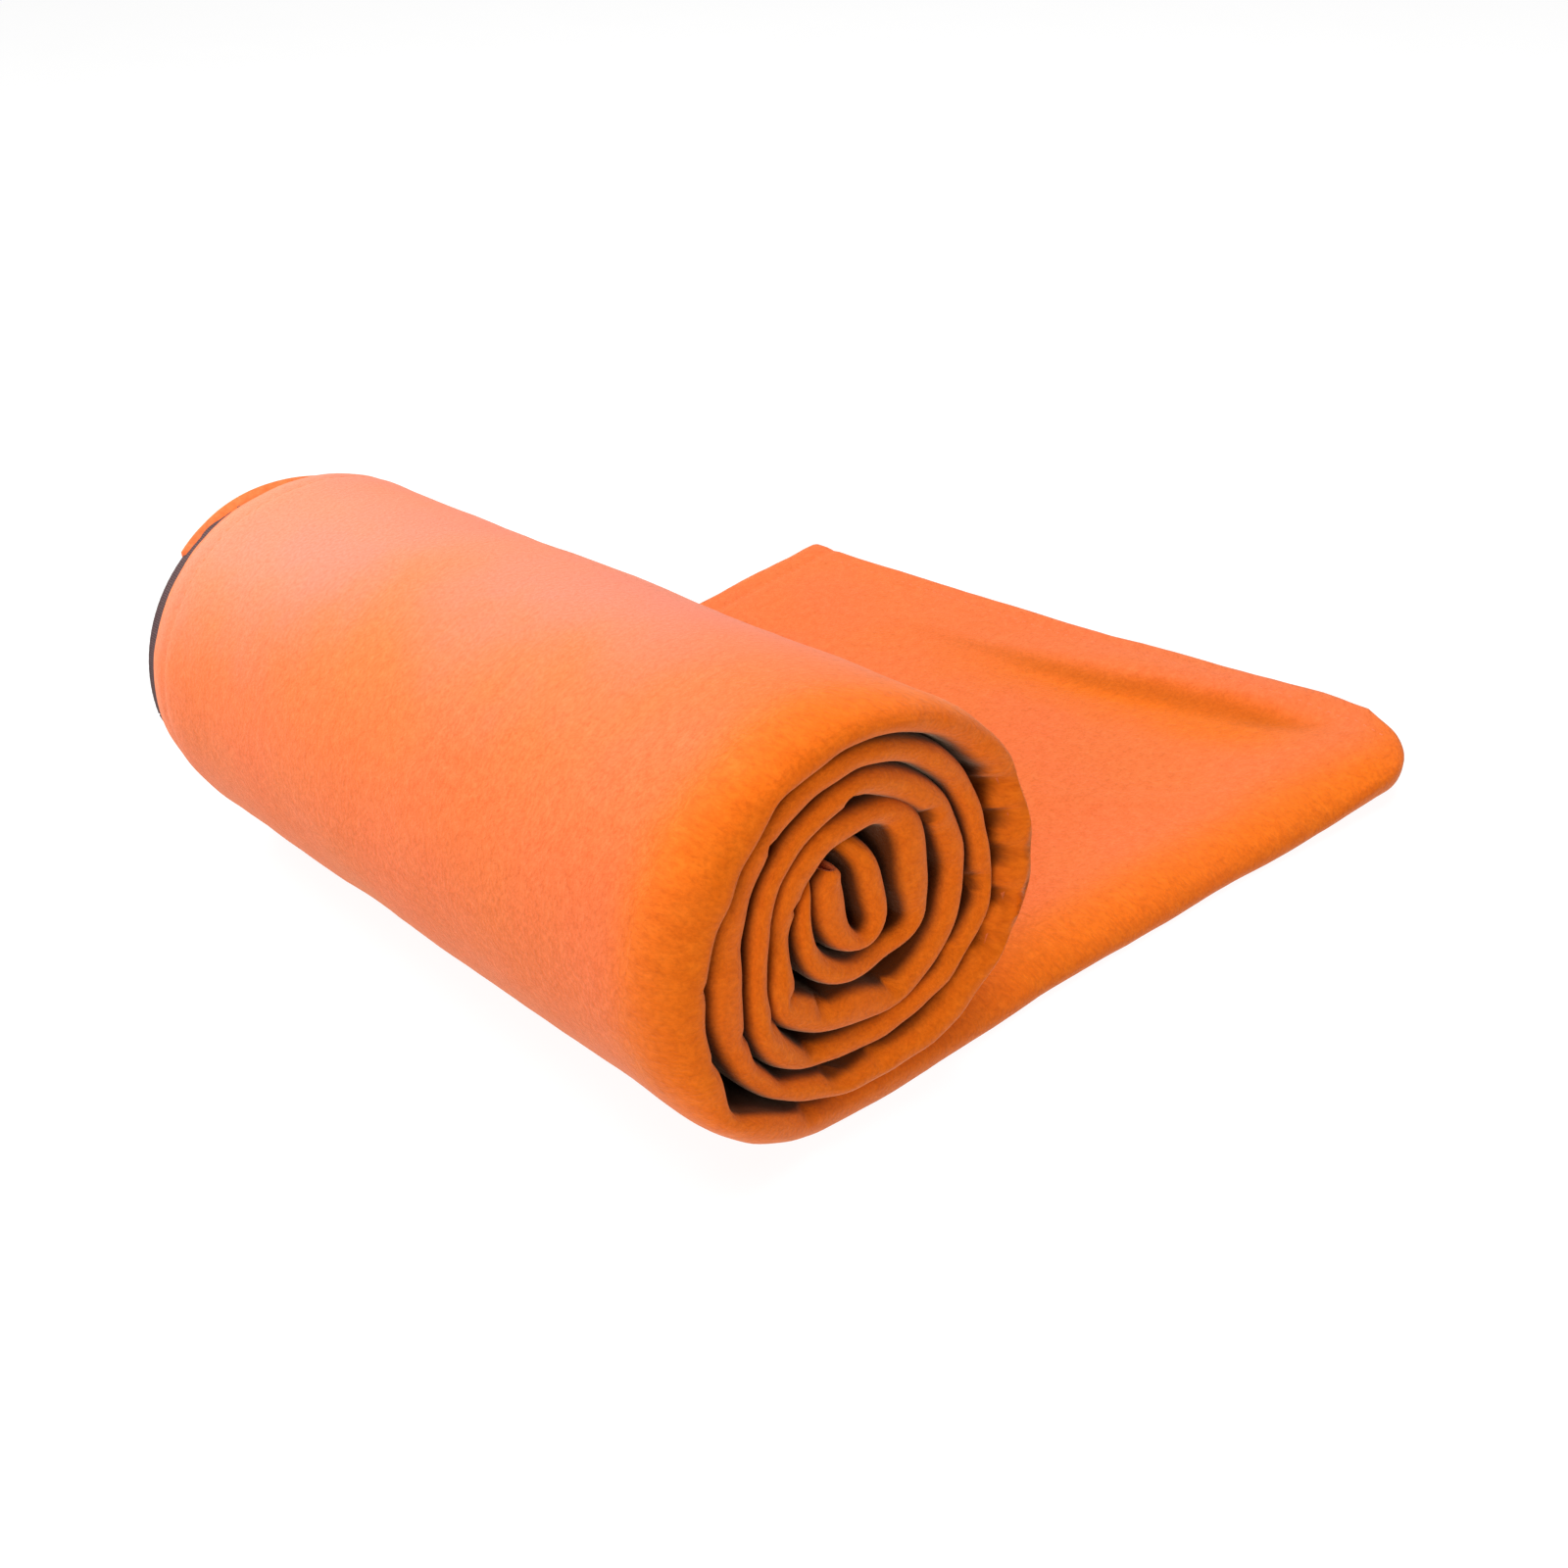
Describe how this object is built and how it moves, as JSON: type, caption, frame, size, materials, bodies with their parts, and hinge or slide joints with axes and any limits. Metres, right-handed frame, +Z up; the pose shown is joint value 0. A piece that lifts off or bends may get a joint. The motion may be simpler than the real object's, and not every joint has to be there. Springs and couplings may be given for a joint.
{
  "type": "quick dry towel",
  "caption": "Fleece towel folded once lengthwise and rolled up, with its last stretch lying flat as a flap that lifts and rolls up, and a small swinging hanging loop.",
  "frame": {"origin": "on the resting surface, straight under the roll's axis, halfway along the cloth's folded width", "axes": "+Z up; +Y along the roll's axis, from the rounded fold to the hemmed edges; +X from the roll towards the end of the flap"},
  "size_m": [0.248, 0.204, 0.093],
  "materials": {
    "fleece": "brushed microfibre fleece, soft and matt",
    "thread": "twisted polyester thread",
    "tack_thread": "dense polyester bar tack",
    "loop_tape": "charcoal woven tape",
    "label_satin": "plain white satin, blank"
  },
  "bodies": {
    "roll": {"rolled_cloth": "fleece", "roll_hem_thread": "thread", "loop_sewn_ends": "loop_tape", "loop_bar_tacks": "tack_thread"},
    "flap_1": {"flap_panel_1": "fleece", "flap_hem_thread_1": "thread"},
    "flap_2": {"flap_panel_2": "fleece", "flap_hem_thread_2": "thread"},
    "flap_3": {"flap_panel_3": "fleece", "flap_hem_thread_3": "thread", "care_label": "label_satin"},
    "flap_4": {"flap_panel_4": "fleece", "flap_hem_thread_4": "thread", "end_hem_thread": "thread"},
    "loop": {"hanging_loop": "loop_tape"}
  },
  "joints": [
    {"name": "flap_lift", "type": "hinge", "parent": "roll", "child": "flap_1", "pos_m": [0.024, 0, 0.0064], "axis": [0, -1, 0], "range_deg": [0, 40]},
    {"name": "flap_curl_1", "type": "hinge", "parent": "flap_1", "child": "flap_2", "pos_m": [0.056, 0, 0.0064], "axis": [0, -1, 0], "range_deg": [0, 45]},
    {"name": "flap_curl_2", "type": "hinge", "parent": "flap_2", "child": "flap_3", "pos_m": [0.092, 0, 0.0064], "axis": [0, -1, 0], "range_deg": [0, 45]},
    {"name": "flap_curl_3", "type": "hinge", "parent": "flap_3", "child": "flap_4", "pos_m": [0.134, 0, 0.0064], "axis": [0, -1, 0], "range_deg": [0, 45]},
    {"name": "loop_swing", "type": "hinge", "parent": "roll", "child": "loop", "pos_m": [-0.02523, 0.0913, 0.05646], "axis": [-0.515, 0, -0.8572], "range_deg": [0, 110], "stiffness_Nm_per_rad": 0.0002, "springref_deg": -17.19}
  ],
  "couplings": [
    {"joint": "flap_curl_2", "follows": "flap_curl_1", "ratio": 1},
    {"joint": "flap_curl_3", "follows": "flap_curl_1", "ratio": 1}
  ]
}
